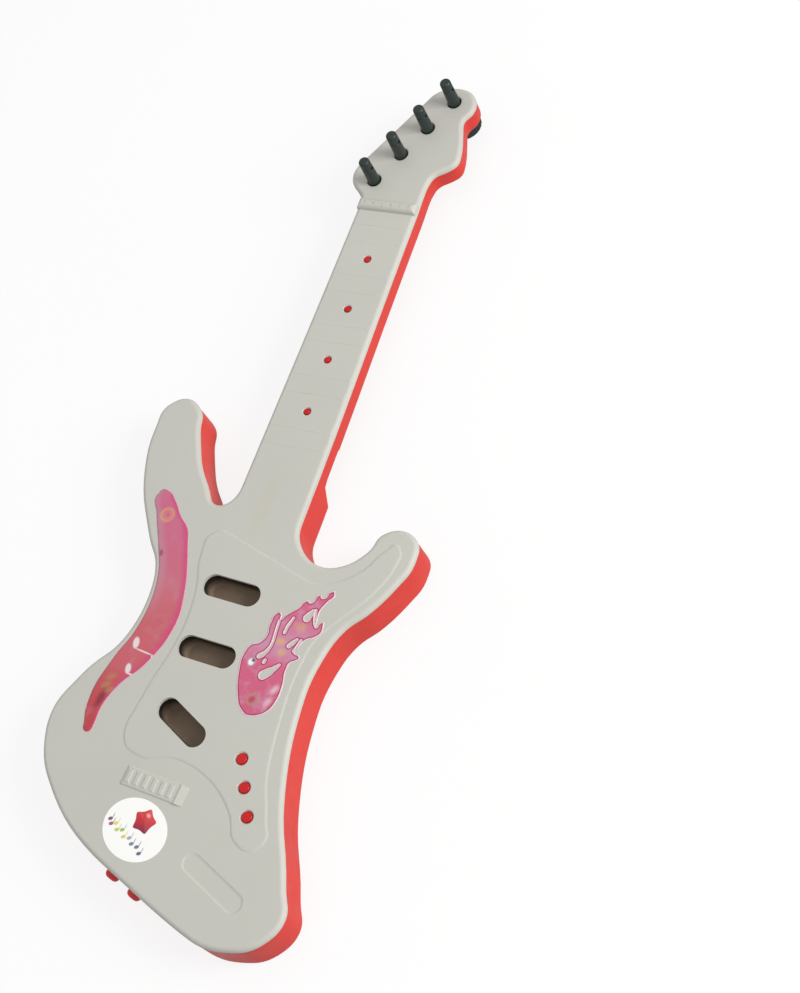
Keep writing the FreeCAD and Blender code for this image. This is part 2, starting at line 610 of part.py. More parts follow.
def tuning_knob(p):
    """Fluted knob behind the headstock, pressed on the post."""
    z0, z1 = 2.5, NECK_BACK_Z - 0.4
    knob = rod(p.x, p.y, z0, z1, PEG_KNOB_D)
    knob = knob.makeFillet(1.2, edges_at(knob, z0) + edges_at(knob, z1))
    flutes = []
    for i in range(PEG_KNOB_FLUTES):
        q = p + unit(360.0 * i / PEG_KNOB_FLUTES) * (PEG_KNOB_D / 2 + 0.7)
        flutes.append(rod(q.x, q.y, z0 - 1, z1 + 1, 2.4))
    return knob.cut(flutes + [rod(p.x, p.y, 4.0, z1 + 1, SHAFT_D)])


# ---------------------------------------------------------------- side knobs
def side_rod(along, out0, out1, diameter):
    """Rod square to the lower left wall, between two distances out from the rear shell's face."""
    way = (SIDE_WALL_B - SIDE_WALL_A).normalize()
    outward = V(way.y, -way.x, 0)
    wall = SIDE_WALL_A + way * along - outward * SHELL_INSET + V(0, 0, SIDE_KNOB_Z)
    return Part.makeCylinder(diameter / 2, out1 - out0, wall + outward * out0, outward)


def side_knob(along):
    """Domed knob on a stem that turns in the wall."""
    gap = 0.6
    cap = side_rod(along, gap, gap + SIDE_KNOB_RISE, SIDE_KNOB_D)
    rim = [e for e in cap.Edges if len(e.Vertexes) == 1]
    outer = max(rim, key=lambda e: -e.CenterOfMass.y)
    cap = cap.makeFillet(3.0, [outer])
    stem = side_rod(along, -13.0, gap + 1.0, SIDE_KNOB_STEM_D)
    return cap.fuse(stem).removeSplitter()


def side_control(along):
    """Potentiometer behind the wall, bored for the knob's stem."""
    can = side_rod(along, -15.0, -6.4, 16.0)
    bush = side_rod(along, -6.4, -5.2, 9.0)
    bore = side_rod(along, -13.5, 0.0, SIDE_KNOB_STEM_D + 2 * RUNNING_GAP)
    return can.fuse(bush).cut(bore)


# ---------------------------------------------------------------- speaker
def speaker_frame():
    x, y = SPEAKER.x, SPEAKER.y
    ring = tube(x, y, WALL, WALL + 3.0, SPEAKER_D, SPEAKER_D - 7.0)
    wall = cone(x, y, WALL + 3.0, WALL + 11.0, SPEAKER_D - 4.0, 30.0)
    hollow = cone(x, y, WALL + 3.0, WALL + 10.0, SPEAKER_D - 7.0, 27.0)
    terminals = box(x + TERMINAL_REACH - 3.8, y - 4, WALL + 5.5, x + TERMINAL_REACH, y + 4, WALL + 8.5)
    return ring.fuse([wall.cut(hollow), terminals])


def speaker_cone():
    x, y = SPEAKER.x, SPEAKER.y
    outer = cone(x, y, WALL + 1.4, WALL + 8.6, SPEAKER_D - 7.4, 18.0)
    inner = cone(x, y, WALL + 0.6, WALL + 7.8, SPEAKER_D - 7.4, 18.0)
    return outer.cut(inner).fuse(Part.makeCylinder(9.2, 1.2, V(x, y, WALL + 7.4)))


def speaker_magnet():
    return tube(SPEAKER.x, SPEAKER.y, WALL + 11.0, WALL + 17.0, 29.0, 8.0)


# ---------------------------------------------------------------- battery compartment
def battery_tray():
    outer = box(TRAY_X0, TRAY_Y0, WALL, TRAY_X1, TRAY_Y1, TRAY_TOP_Z)
    inner = box(TRAY_X0 + TRAY_WALL, TRAY_Y0 + TRAY_WALL, WALL - 1, TRAY_X1 - TRAY_WALL,
                TRAY_Y1 - TRAY_WALL, TRAY_TOP_Z - 1.4)
    tray = outer.cut(inner)
    ribs = []
    for i in (1, 2):
        y = TRAY_Y0 + TRAY_WALL + i * (TRAY_Y1 - TRAY_Y0 - 2 * TRAY_WALL) / 3
        ribs.append(box(TRAY_X0 + 12, y - 0.4, TRAY_TOP_Z - 3.6, TRAY_X1 - 12, y + 0.4, TRAY_TOP_Z - 1.0))
    return tray.fuse(ribs)


def cell_axes():
    """Y of each battery's axis."""
    pitch = (TRAY_Y1 - TRAY_Y0 - 2 * TRAY_WALL) / CELL_COUNT
    return [TRAY_Y0 + TRAY_WALL + pitch * (i + 0.5) for i in range(CELL_COUNT)]


def batteries():
    """Three AA cells, each turned end for end to its neighbour."""
    middle = (TRAY_X0 + TRAY_X1) / 2
    cells = []
    for i, y in enumerate(cell_axes()):
        way = 1 if i % 2 == 0 else -1
        start = V(middle - way * CELL_LENGTH / 2, y, CELL_Z)
        can = Part.makeCylinder(CELL_D / 2, CELL_LENGTH - 1.2, start, V(way, 0, 0))
        can = can.makeFillet(0.6, [e for e in can.Edges if len(e.Vertexes) == 1 and e.Closed])
        nub = Part.makeCylinder(2.7, CELL_LENGTH, start, V(way, 0, 0))
        cells.append(can.fuse(nub))
    return group(cells)


def battery_contacts():
    """A plate at the plus end and a coned spring stand-in at the minus end of each cell."""
    left, right = TRAY_X0 + TRAY_WALL, TRAY_X1 - TRAY_WALL
    half = CELL_LENGTH / 2
    middle = (TRAY_X0 + TRAY_X1) / 2
    parts = []
    for i, y in enumerate(cell_axes()):
        way = 1 if i % 2 == 0 else -1
        for x, inwards in ((left, 1), (right, -1)):
            plate_x = x if inwards > 0 else x - 0.5
            parts.append(box(plate_x, y - 5, CELL_Z - 5, plate_x + 0.5, y + 5, CELL_Z + 5))
        minus = left + 0.5 if way > 0 else right - 0.5
        reach = middle - way * half
        parts.append(Part.makeCone(4.2, 2.4, abs(reach - minus), V(minus, y, CELL_Z), V(way, 0, 0)))
        plus = right - 0.5 if way > 0 else left + 0.5
        tip = middle + way * half
        parts.append(Part.makeCone(3.4, 2.4, abs(plus - tip), V(plus, y, CELL_Z), V(-way, 0, 0)))
    return group(parts)


def battery_door():
    """Flush door in the back with finger grooves and a screw tab."""
    plate = door_plate(-DOOR_GAP, 0, WALL)
    x1 = TRAY_X1 - TRAY_WALL - DOOR_GAP
    middle = (TRAY_Y0 + TRAY_Y1) / 2
    door = plate.fuse(door_tab(-DOOR_GAP, 0, WALL)).removeSplitter()
    grooves = [box(x1 - 14, middle - 8.7 + i * 4, -1, x1 - 4, middle - 7.3 + i * 4, 0.6) for i in range(5)]
    screw_hole = [rod(DOOR_TAB.x, DOOR_TAB.y, -1, WALL + 1, SCREW_D),
                  rod(DOOR_TAB.x, DOOR_TAB.y, -1, SCREW_HEAD_RISE, SCREW_HEAD_D)]
    return door.cut(grooves + screw_hole)


def battery_door_screw():
    """Screw of the door; its head is let into the tab."""
    return screw(DOOR_TAB.x, DOOR_TAB.y, SCREW_HEAD_RISE, 9.0)


# ---------------------------------------------------------------- decals
def decal(entries, z):
    return prism(smooth_wire(entries), z, z + DECAL_THICK)


def tapering(points, widths):
    """Closed outline of a given width about a middle line, with round ends."""
    points = [V(x, y, 0) for x, y in points]
    left = []
    right = []
    for i, point in enumerate(points):
        way = (points[min(i + 1, len(points) - 1)] - points[max(i - 1, 0)]).normalize()
        heading = math.degrees(math.atan2(way.y, way.x))
        side = left_of(way) * (widths[i] / 2)
        right.append((point.x - side.x, point.y - side.y, heading))
        left.append((point.x + side.x, point.y + side.y, heading + 180))
        if i == 0:
            start = point - way * (widths[i] / 2)
            start_tip = (start.x, start.y, heading - 90)
    end = point + way * (widths[-1] / 2)
    return [start_tip] + right + [(end.x, end.y, heading + 90)] + left[::-1]


def flame_sticker():
    """The flame's die-cut outline with the openings between its tongues."""
    openings = [prism(smooth_wire(tapering(points, widths)), GUARD_Z - 1, GUARD_Z + 1)
                for points, widths in FLAME_OPENINGS]
    return decal(FLAME, GUARD_Z).cut(openings)


def swoosh_sticker():
    return decal(SWOOSH, FACE_Z)


def printed_label():
    rim = Part.Wire(Part.Ellipse(LABEL, LABEL_LENGTH / 2, LABEL_WIDTH / 2).toShape())
    rim.rotate(LABEL, UP, LABEL_TILT)
    return prism(rim, FACE_Z, FACE_Z + DECAL_THICK)


# ---------------------------------------------------------------- wires inside
def neck_cable():
    """From the neck's board over the heel to the main board, under the slots."""
    x, y = NECK_SOCKET
    z = NECK_BOARD_Z - SOCKET_DROP / 2
    x1, y1 = MAIN_SOCKETS[0]
    z1 = MAIN_BOARD_Z - SOCKET_DROP / 2
    return cable(((x, y - SOCKET_SIZE / 2, z), (x, 140, z), (14, 108, 9.5), (30, 70, 9.5),
                  (37.5, 25, 9.5), (44, -8, 9.5), (x1 - 1, y1 + 22, 13), (x1, y1 + 13, z1),
                  (x1, y1 + SOCKET_SIZE / 2, z1)), 3.0)


def speaker_wires():
    """From the speaker's terminals to the main board."""
    x, y = MAIN_SOCKETS[1]
    z = MAIN_BOARD_Z - SOCKET_DROP / 2
    return cable(((SPEAKER.x + TERMINAL_REACH, SPEAKER.y, WALL + 7), (-20, SPEAKER.y, WALL + 7),
                  (-6, -75, 6.5), (12, -86, 7.5), (20, y, z), (x - SOCKET_SIZE / 2, y, z)), 2.0)


def knob_wires():
    """From the second side control to the main board."""
    x, y = MAIN_SOCKETS[2]
    z = MAIN_BOARD_Z - SOCKET_DROP / 2
    return cable(((9.3, -141.1, 14), (14, -129, 14), (15, -115, 14), (19, y - 7, z), (24, y, z),
                  (x - SOCKET_SIZE / 2, y, z)), 2.0)


def battery_wires():
    """Two short leads from the battery tray to the main board."""
    x, y = MAIN_SOCKETS[3]
    length = y - SOCKET_SIZE / 2 - TRAY_Y1
    return group([Part.makeCylinder(0.8, length, V(x + side, TRAY_Y1, 15.6), V(0, 1, 0))
                  for side in (-1.4, 1.4)])


# ---------------------------------------------------------------- nodes
def case_screws():
    length = 12.0
    return group([screw(x, y, meet - 3.0, length) for x, y, back, meet in screw_places()])


def body_button(place):
    return push_button(place[0], place[1], BODY_BUTTON_D, GUARD_Z + 0.3, MAIN_BOARD_Z + BOARD_THICK + 4.6)


def neck_button(place):
    return push_button(place[0], place[1], NECK_BUTTON_D, FACE_Z + 0.2, NECK_BOARD_Z + BOARD_THICK + 4.4)


SINGLE = (front_cover, rear_shell, main_circuit_board, board_parts, neck_circuit_board,
          body_contact_pad, neck_contact_pads, board_screws, speaker_frame, speaker_cone, speaker_magnet,
          battery_tray, batteries, battery_contacts, battery_door, battery_door_screw, case_screws,
          flame_sticker, swoosh_sticker, printed_label, neck_cable, speaker_wires, knob_wires, battery_wires)
REPEATED = (
    ("pickup_insert", lambda place: pickup_insert(*place), PICKUPS),
    ("body_button", body_button, BODY_BUTTONS),
    ("neck_button", neck_button, NECK_BUTTONS),
    ("tuning_post", tuning_post, peg_places()),
    ("tuning_knob", tuning_knob, peg_places()))
SIDE_CONTROLS = (("volume", SIDE_KNOBS_ALONG[0]), ("tempo", SIDE_KNOBS_ALONG[1]))


def nodes():
    """Every node's name and shape, one after another."""
    for make in SINGLE:
        yield make.__name__, make()
    for name, make, places in REPEATED:
        for number, place in enumerate(places, 1):
            yield "%s_%d" % (name, number), make(place)
    for name, along in SIDE_CONTROLS:
        yield name + "_knob", side_knob(along)
        yield name + "_control", side_control(along)


def main():
    os.makedirs("parts", exist_ok=True)
    for name, shape in nodes():
        shape.exportStep("parts/%s.step" % name)
        b = shape.BoundBox
        print("%-20s valid %s solids %d vol %.0f z %.2f..%.2f" % (
            name, shape.isValid(), len(shape.Solids), shape.Volume, b.ZMin, b.ZMax))


main()
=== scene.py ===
import math

import bmesh
import bpy
import numpy as np
from mathutils import Matrix, Vector
from mathutils.geometry import delaunay_2d_cdt


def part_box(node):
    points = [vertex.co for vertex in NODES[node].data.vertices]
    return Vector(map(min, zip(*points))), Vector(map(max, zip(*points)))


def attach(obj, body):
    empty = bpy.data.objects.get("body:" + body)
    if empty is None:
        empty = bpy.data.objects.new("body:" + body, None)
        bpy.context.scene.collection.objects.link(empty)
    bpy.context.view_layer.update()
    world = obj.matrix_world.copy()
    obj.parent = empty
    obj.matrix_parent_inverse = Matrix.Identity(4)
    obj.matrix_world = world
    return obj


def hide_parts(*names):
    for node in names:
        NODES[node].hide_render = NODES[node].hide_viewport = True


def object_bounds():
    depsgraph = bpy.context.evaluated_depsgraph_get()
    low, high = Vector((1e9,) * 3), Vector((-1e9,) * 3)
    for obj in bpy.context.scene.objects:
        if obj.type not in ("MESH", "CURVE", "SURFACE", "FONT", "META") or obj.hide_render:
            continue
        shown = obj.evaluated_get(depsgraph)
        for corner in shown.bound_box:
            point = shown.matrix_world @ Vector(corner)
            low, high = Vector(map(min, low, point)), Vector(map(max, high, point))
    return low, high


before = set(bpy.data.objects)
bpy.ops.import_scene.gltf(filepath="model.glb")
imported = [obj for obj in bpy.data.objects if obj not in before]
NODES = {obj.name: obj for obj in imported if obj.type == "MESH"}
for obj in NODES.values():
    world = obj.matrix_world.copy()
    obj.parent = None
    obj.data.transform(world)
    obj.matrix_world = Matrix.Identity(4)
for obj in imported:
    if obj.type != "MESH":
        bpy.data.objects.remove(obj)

CAD_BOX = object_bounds()
MM = 0.001
FACE_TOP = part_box("printed_label")[0].z
BODY = "shells"


def mm(x, y, z=0.0):
    """A place given in millimetres."""
    return Vector((x * MM, y * MM, z * MM))


# ---------------------------------------------------------------- colours
def srgb(red, green, blue):
    """Linear colour of an sRGB one given from 0 to 255."""
    linear = [((c / 255 + 0.055) / 1.055) ** 2.4 if c > 10 else c / 255 / 12.92
              for c in (red, green, blue)]
    return (*linear, 1.0)


def shade(colour, factor):
    """The colour made darker or lighter by a factor."""
    return (*[min(1.0, c * factor) for c in colour[:3]], 1.0)


COVER_WHITE = srgb(203, 203, 195)
COVER_WARM = srgb(200, 196, 172)
COVER_COOL = srgb(196, 192, 186)
SHELL_RED = srgb(225, 60, 50)
BUTTON_RED = srgb(200, 20, 22)
KNOB_RED = srgb(218, 38, 46)
SLOT_BROWN = srgb(136, 118, 100)
# Black of the painted shade in the slot trays.
SLOT_SHADE_BLACK = srgb(14, 11, 10)
PEG_GREEN = srgb(38, 50, 47)
KNOB_BLACK = srgb(36, 42, 42)
PAPER = srgb(250, 250, 248)
RIM_PINK = srgb(240, 212, 218)
LINE_MAGENTA = srgb(176, 46, 98)
FLAME_PINK = srgb(218, 100, 136)
FLAME_LILAC = srgb(210, 148, 178)
FOIL_YELLOW = srgb(226, 186, 112)
FOIL_OLIVE = srgb(176, 150, 96)
SWOOSH_TOP = srgb(214, 104, 142)
SWOOSH_MIDDLE = srgb(210, 114, 130)
SWOOSH_LOW = srgb(210, 100, 110)
SWOOSH_FOOT = srgb(196, 66, 72)
SWOOSH_EDGE = srgb(216, 68, 128)
SWOOSH_PALE = srgb(200, 140, 160)
DARK_RED = srgb(130, 40, 50)
NOTE_WHITE = srgb(240, 226, 228)
STAR_FOOT = srgb(120, 16, 70)
STAR_RED = srgb(206, 22, 40)
STAR_TOP = srgb(232, 60, 60)
# Colour of the star's painted highlight.
STAR_PAINTED_HIGHLIGHT = srgb(250, 190, 190)
STEEL = srgb(196, 198, 202)
CONTROL_STEEL = srgb(150, 152, 156)
NICKEL = srgb(206, 202, 190)
METAL_BLACK = srgb(30, 30, 32)
CHIP_BLACK = srgb(24, 24, 26)
TRAY_GREY = srgb(60, 60, 62)
WIRE_GREY = srgb(52, 50, 50)


# ---------------------------------------------------------------- materials
class Finish:
    """A material with one Principled shader. Sizes of its patterns are in metres on the piece."""

    def __init__(self, name, **constants):
        self.material = bpy.data.materials.new(name)
        self.material.use_nodes = True
        self.tree = self.material.node_tree
        self.shader = self.tree.nodes["Principled BSDF"]
        self.place = self.node("ShaderNodeTexCoord").outputs["Object"]
        self.relief = None
        for socket, value in constants.items():
            self.shader.inputs[socket.replace("_", " ")].default_value = value

    def node(self, kind, inputs=(), **settings):
        """A new node with its settings and its inputs, each a number, a colour or a socket."""
        made = self.tree.nodes.new(kind)
        for key, value in settings.items():
            setattr(made, key, value)
        for socket, value in dict(inputs).items():
            self.give(made.inputs[socket], value)
        return made

    def give(self, socket, value):
        """Links a socket to a value's socket, or sets it to a constant."""
        if isinstance(value, bpy.types.NodeSocket):
            self.tree.links.new(value, socket)
        else:
            socket.default_value = value

    def noise(self, size, detail=2.0, roughness=0.5, stretch=(1, 1, 1), turn=0.0):
        """Soft noise, whose blots are about one size across."""
        turned = self.node("ShaderNodeMapping", {"Vector": self.place, "Rotation": (0, 0, turn),
                                                 "Scale": [s / size for s in stretch]})
        made = self.node("ShaderNodeTexNoise", {"Vector": turned.outputs[0], "Scale": 1.0,
                                                "Detail": detail, "Roughness": roughness})
        return made.outputs["Fac"]

    def cells(self, size):
        """Distance pattern of cells about one size across."""
        made = self.node("ShaderNodeTexVoronoi", {"Vector": self.place, "Scale": 1.0 / size})
        return made.outputs["Distance"]

    def attribute(self, name):
        """A number that the mesh carries at its points."""
        return self.node("ShaderNodeAttribute", attribute_name=name).outputs["Fac"]

    def along(self, axis):
        """Coordinate of the surface along X, Y or Z."""
        return self.node("ShaderNodeSeparateXYZ", {0: self.place}).outputs[axis]

    def span(self, value, low, high, start=0.0, end=1.0):
        """The value's run from low to high, brought smoothly to start..end."""
        inputs = {"Value": value, "From Min": low, "From Max": high, "To Min": start, "To Max": end}
        return self.node("ShaderNodeMapRange", inputs, interpolation_type="SMOOTHSTEP").outputs[0]

    def math(self, operation, a, b=0.5):
        """Result of a Math node."""
        return self.node("ShaderNodeMath", {0: a, 1: b}, operation=operation).outputs[0]

    def mix(self, share, a, b):
        """Colour between a, at share 0, and b, at share 1."""
        return self.node("ShaderNodeMix", {0: share, 6: a, 7: b}, data_type="RGBA").outputs[2]

    def bands(self, value, stops):
        """Colours along a value, given as (position, colour)."""
        made = self.node("ShaderNodeValToRGB", {0: value})
        points = made.color_ramp.elements
        while len(points) < len(stops):
            points.new(0.5)
        for point, (position, colour) in zip(points, stops):
            point.position = position
            point.color = colour
        return made.outputs[0]

    def away(self, x, y, wide, high, tilt=0.0):
        """Distance from the middle of an ellipse on the face, which is 1 on its line."""
        mapping = self.node("ShaderNodeMapping", {"Vector": self.place, "Location": mm(x, y),
                                                  "Rotation": (0, 0, math.radians(tilt)),
                                                  "Scale": (wide * MM / 2, high * MM / 2, 1)},
                            vector_type="TEXTURE")
        length = self.node("ShaderNodeVectorMath", {0: mapping.outputs[0]}, operation="LENGTH")
        return length.outputs["Value"]

    def spot(self, x, y, wide, high, tilt=0.0, soft=0.35):
        """Mask of an ellipse printed on the face, in millimetres and degrees."""
        return self.span(self.away(x, y, wide, high, tilt), 1 + soft, 1 - soft)

    def ring(self, x, y, size, width=0.3):
        """Mask of a soft ring printed on the face."""
        off = self.math("SUBTRACT", self.away(x, y, size, size), 1.0)
        return self.span(self.math("ABSOLUTE", off), width, 0.0)

    def mark(self, colour, mask, paint, strength=1.0):
        """The colour with a print over it."""
        return self.mix(self.math("MULTIPLY", mask, strength), colour, paint)

    def colour(self, value):
        """Sets the shader's base colour."""
        self.give(self.shader.inputs["Base Color"], value)

    def roughness(self, value):
        """Sets the shader's roughness."""
        self.give(self.shader.inputs["Roughness"], value)

    def bump(self, height, depth):
        """Adds relief of that depth in metres, over the relief given before."""
        inputs = {"Height": height, "Distance": depth, "Strength": 1.0}
        if self.relief:
            inputs["Normal"] = self.relief
        self.relief = self.node("ShaderNodeBump", inputs).outputs[0]
        self.give(self.shader.inputs["Normal"], self.relief)


def moulded(name, colour, roughness, mottle, depth=0.000006, **constants):
    """Injection-moulded plastic: cloudy pigment, fine mould grain, sink waves, rubbed patches."""
    finish = Finish(name, **constants)
    cloud = finish.noise(0.05, detail=4, roughness=0.6)
    share = finish.span(cloud, 0.3, 0.7)
    finish.colour(finish.mix(share, shade(colour, 1 - mottle), shade(colour, 1 + mottle)))
    rubbed = finish.noise(0.014, detail=6, roughness=0.7)
    scratch = finish.noise(0.0012, detail=2, stretch=(1, 0.03, 1), turn=0.5)
    worn = finish.span(rubbed, 0.3, 0.72, roughness - 0.05, roughness + 0.09)
    finish.roughness(finish.math("ADD", worn, finish.span(scratch, 0.66, 0.76, 0.0, 0.1)))
    finish.bump(finish.noise(0.03, detail=1), depth * 6)
    finish.bump(finish.noise(0.0006, detail=2), depth)
    return finish


def cover_plastic():
    """Satin white of the front, with a faint warm flow mark at the neck and a cooler headstock."""
    finish = moulded("cover_plastic", COVER_WHITE, roughness=0.5, mottle=0.012,
                     Specular_IOR_Level=0.35, Subsurface_Weight=0.06,
                     Subsurface_Radius=(0.004, 0.004, 0.003))
    base = finish.shader.inputs["Base Color"].links[0].from_socket
    flow = finish.spot(-4, 112, 10, 44, soft=0.7)
    base = finish.mark(base, flow, COVER_WARM, 0.35)
    headstock = finish.span(finish.along("Y"), 0.36, 0.46)
    finish.colour(finish.mark(base, headstock, COVER_COOL, 0.5))
    return finish.material


def shell_plastic():
    """Red of the rear shell and the battery door."""
    return moulded("shell_plastic", SHELL_RED, roughness=0.38, mottle=0.05,
                   Specular_IOR_Level=0.45, Subsurface_Weight=0.05,
                   Subsurface_Radius=(0.005, 0.001, 0.001)).material


def slot_plastic():
    """Dull brown of the deep slot trays, dusty on the floor, with painted shade that turns the
    walls black up to the face.
    """
    finish = Finish("slot_plastic", Specular_IOR_Level=0.25)
    dust = finish.noise(0.004, detail=5, roughness=0.7)
    floor_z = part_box("pickup_insert_1")[0].z
    # Painted shade: colour runs from brown at the floor to black near the face, standing in for the
    # recess's shadow.
    painted_wall_shade = finish.span(finish.along("Z"), floor_z + 0.002, FACE_TOP - 0.0045)
    base = finish.mix(painted_wall_shade, SLOT_BROWN, SLOT_SHADE_BLACK)
    finish.colour(finish.mix(finish.span(dust, 0.3, 0.75, 0.8, 1.0), shade(SLOT_BROWN, 0.4), base))
    finish.roughness(finish.span(dust, 0.3, 0.8, 0.55, 0.8))
    finish.bump(finish.noise(0.0007, detail=3), 0.00002)
    return finish.material


def foil(name, **constants):
    """Printed holographic foil under a clear film: metal flakes and a rippled gloss."""
    finish = Finish(name, Metallic=0.15, Coat_Weight=0.12, Coat_Roughness=0.35, **constants)
    ripple = finish.noise(0.009, detail=3, roughness=0.55)
    finish.roughness(finish.span(ripple, 0.25, 0.75, 0.4, 0.56))
    finish.bump(ripple, 0.00004)
    finish.bump(finish.cells(0.0007), 0.000006)
    return finish


def flame_foil():
    """Pink and lilac flame with a pale border, a magenta line, yellow flecks and round marks."""
    finish = foil("flame_foil")
    depth = finish.attribute("edge")
    body = finish.bands(finish.span(finish.along("Y"), -0.033, 0.055),
                        ((0.0, shade(FLAME_PINK, 0.94)), (0.35, FLAME_PINK),
                         (0.6, FLAME_LILAC), (1.0, FLAME_PINK)))
    shimmer = finish.noise(0.007, detail=3, roughness=0.6)
    body = finish.mark(body, finish.span(shimmer, 0.45, 0.7), FLAME_LILAC, 0.7)
    yellow = ((45.5, 20.5, 7, 4.5, 0.7), (49, 13.5, 6, 5, 0.55), (56, 33, 8, 6, 0.4))
    for x, y, wide, high, strength in yellow:
        body = finish.mark(body, finish.spot(x, y, wide, high, soft=0.7), FOIL_YELLOW, strength)
    # Two pale patches on the right of the flame are painted highlights.
    for x, y in ((52.5, -21), (54, -12)):
        body = finish.mark(body, finish.spot(x, y, 4, 7, -25, soft=0.7), RIM_PINK, 0.6)
    body = finish.mark(body, finish.ring(41, -21.5, 7.5), FOIL_OLIVE, 0.8)
    body = finish.mark(body, finish.spot(41, -21.5, 4, 4), shade(DARK_RED, 1.6), 0.5)
    body = finish.mark(body, finish.spot(31, 3, 6.4, 6.4, soft=0.3), srgb(186, 150, 178))
    body = finish.mark(body, finish.spot(30.6, 2.6, 4.2, 4.6, soft=0.3), PAPER)
    body = finish.mark(body, finish.spot(31.8, 4, 2.2, 2.2, soft=0.4), srgb(120, 80, 110))
    border = finish.bands(finish.span(depth, 0.0, 0.002),
                          ((0.0, RIM_PINK), (0.3, RIM_PINK),
                           (0.42, LINE_MAGENTA), (1.0, LINE_MAGENTA)))
    finish.colour(finish.mix(finish.span(depth, 0.0013, 0.0019), border, body))
    return finish.material


def swoosh_foil():
    """Long stripe that runs from pink down to red, with rings, dark flecks and two white notes."""
    finish = foil("swoosh_foil")
    base = finish.bands(finish.span(finish.along("Y"), -0.070, 0.108),
                        ((0.0, SWOOSH_FOOT), (0.22, SWOOSH_LOW), (0.45, SWOOSH_LOW),
                         (0.68, SWOOSH_MIDDLE), (1.0, SWOOSH_TOP)))
    shimmer = finish.noise(0.012, detail=4, roughness=0.6)
    base = finish.mark(base, finish.span(shimmer, 0.5, 0.75), SWOOSH_PALE, 0.35)
    across = finish.attribute("across")
    upper = finish.span(finish.along("Y"), 0.005, 0.05)
    left = finish.math("MULTIPLY", finish.span(across, 0.38, 0.08), upper)
    base = finish.mark(base, left, SWOOSH_PALE, 0.7)
    base = finish.mark(base, finish.span(across, 0.72, 0.97), SWOOSH_EDGE, 0.75)
    base = finish.mark(base, finish.ring(-72.5, 91, 9, 0.5), FOIL_YELLOW, 0.5)
    base = finish.mark(base, finish.ring(-72.3, 91, 4.4), FOIL_YELLOW, 0.4)
    base = finish.mark(base, finish.spot(-65.5, 63, 3, 5, 20, soft=0.6), DARK_RED, 0.6)
    base = finish.mark(base, finish.spot(-66, -45, 5, 13, -12, soft=0.7), DARK_RED, 0.8)
    for x, y in ((-64.5, -29), (-66, -35), (-62, -38)):
        base = finish.mark(base, finish.spot(x, y, 7, 4, 30, soft=0.6), FOIL_OLIVE, 0.5)
    for x, y, wide, high, tilt in ((-56.6, -2.5, 4.6, 8, 12), (-54.8, -21, 4.2, 7.2, 12)):
        head = finish.spot(x, y, wide, high, tilt, soft=0.25)
        base = finish.mark(base, head, NOTE_WHITE)
    for x, y, wide, tilt in ((-48.5, -7.4, 15, -8), (-40.8, -10.5, 5, -70), (-51.5, -24.6, 7, -8)):
        stem = finish.spot(x, y, wide, 1.2, tilt, soft=0.4)
        base = finish.mark(base, stem, NOTE_WHITE, 0.9)
    rim = finish.span(finish.attribute("edge"), 0.0004, 0.0)
    finish.colour(finish.mark(base, rim, RIM_PINK, 0.55))
    return finish.material


def label_paper():
    """White coated paper with a generic row of little coloured notes; a faint white emission makes
    it glow as painted light.
    """
    # The white emission is painted light: the paper glows a little though it is no lamp.
    finish = Finish("label_paper", Coat_Weight=0.1, Coat_Roughness=0.4, Specular_IOR_Level=0.3,
                    Emission_Strength=0.11, Emission_Color=(1, 1, 1, 1))
    fibre = finish.noise(0.0009, detail=4, roughness=0.7)
    base = finish.mix(finish.span(fibre, 0.3, 0.7), shade(PAPER, 0.975), PAPER)
    row = ((-24.2, -119.6, srgb(84, 30, 84)), (-22.4, -122.6, srgb(150, 40, 96)),
           (-19, -121.6, srgb(226, 206, 40)), (-16.8, -125.4, srgb(180, 200, 40)),
           (-13, -124.6, srgb(150, 180, 40)), (-10.4, -128.6, srgb(214, 200, 60)),
           (-6, -128.4, srgb(150, 160, 160)), (-3, -131.6, srgb(90, 110, 130)),
           (1.4, -132.6, srgb(70, 90, 130)), (4.6, -136.2, srgb(36, 56, 110)))
    for x, y, ink in row:
        base = finish.mark(base, finish.spot(x, y, 3.4, 2.4, 25, soft=0.25), ink)
        base = finish.mark(base, finish.spot(x + 1.5, y + 2.2, 0.6, 4.6, -8, soft=0.35), ink, 0.85)
    finish.colour(base)
    finish.roughness(finish.span(fibre, 0.2, 0.8, 0.5, 0.62))
    finish.bump(fibre, 0.000008)
    return finish.material


def star_gloss():
    """Glossy red of the printed star, darker towards its foot, with a painted highlight in its
    upper part.
    """
    finish = Finish("star_gloss", Coat_Weight=0.8, Coat_Roughness=0.05)
    fall = finish.span(finish.along("Y"), -0.127, -0.104)
    red = finish.bands(fall, ((0.0, STAR_FOOT), (0.45, STAR_RED), (1.0, STAR_TOP)))
    # Painted highlight: a pale spot in the upper part of the star.
    painted_highlight = finish.spot(1.5, -111.5, 3.2, 2.2, -30, soft=0.6)
    finish.colour(finish.mark(red, painted_highlight, STAR_PAINTED_HIGHLIGHT, 0.8))
    finish.roughness(finish.span(finish.noise(0.003), 0.3, 0.7, 0.2, 0.35))
    return finish.material


def rubber():
    """Grey silicone, a little cloudy."""
    finish = Finish("silicone_rubber", Subsurface_Weight=0.1,
                    Subsurface_Radius=(0.002, 0.002, 0.002))
    cloud = finish.noise(0.006, detail=3)
    finish.colour(finish.mix(cloud, srgb(128, 130, 132), srgb(158, 160, 160)))
    finish.roughness(finish.span(cloud, 0.3, 0.7, 0.5, 0.66))
    finish.bump(finish.noise(0.0005), 0.00001)
    return finish.material


